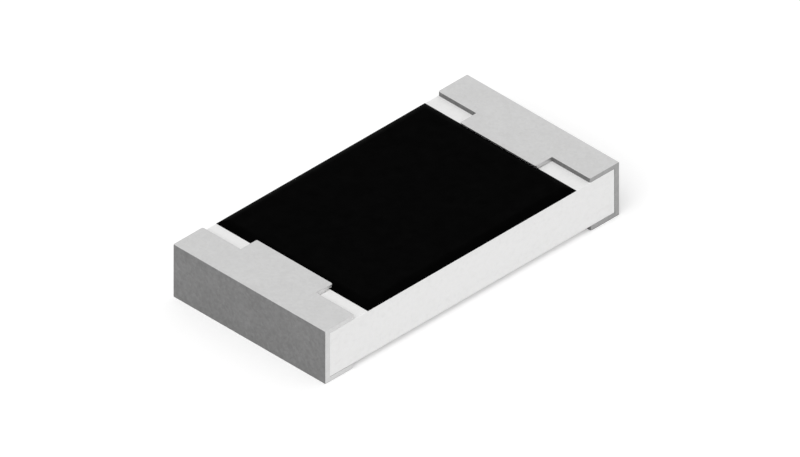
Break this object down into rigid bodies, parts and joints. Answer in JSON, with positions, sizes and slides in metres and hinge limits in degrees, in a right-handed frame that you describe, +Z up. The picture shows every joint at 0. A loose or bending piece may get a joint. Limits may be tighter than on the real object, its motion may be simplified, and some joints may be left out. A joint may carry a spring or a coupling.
{
  "type": "chip resistor",
  "caption": "Flat thick-film chip resistor: white ceramic plate with a black overcoat on top and tinned wrap-around end terminals that solder to pads on a circuit board.",
  "frame": {"origin": "middle of the chip, on the plane of the undersides of both terminals", "axes": "+X along the chip from the left to the right terminal, +Z up from the solder lands to the overcoat"},
  "size_m": [0.0032, 0.0016, 0.0005],
  "materials": {
    "ceramic": "fired white alumina, snapped and scribed edges, matt",
    "silver": "fired silver paste, matt",
    "resistive_film": "fired ruthenium oxide paste, matt dark grey",
    "glass": "fired glass glaze, slightly green",
    "overcoat": "black printed resin, low sheen",
    "edge_electrode": "silver-filled resin, matt",
    "nickel": "plated nickel, satin",
    "tin": "plated matt tin"
  },
  "bodies": {
    "root": {"ceramic_substrate": "ceramic", "top_electrode_left": "silver", "top_electrode_right": "silver", "bottom_electrode_left": "silver", "bottom_electrode_right": "silver", "resistive_film": "resistive_film", "glass_passivation": "glass", "overcoat": "overcoat", "edge_electrode_left": "edge_electrode", "edge_electrode_right": "edge_electrode", "nickel_barrier_left": "nickel", "nickel_barrier_right": "nickel", "tin_plating_left": "tin", "tin_plating_right": "tin"}
  },
  "joints": []
}
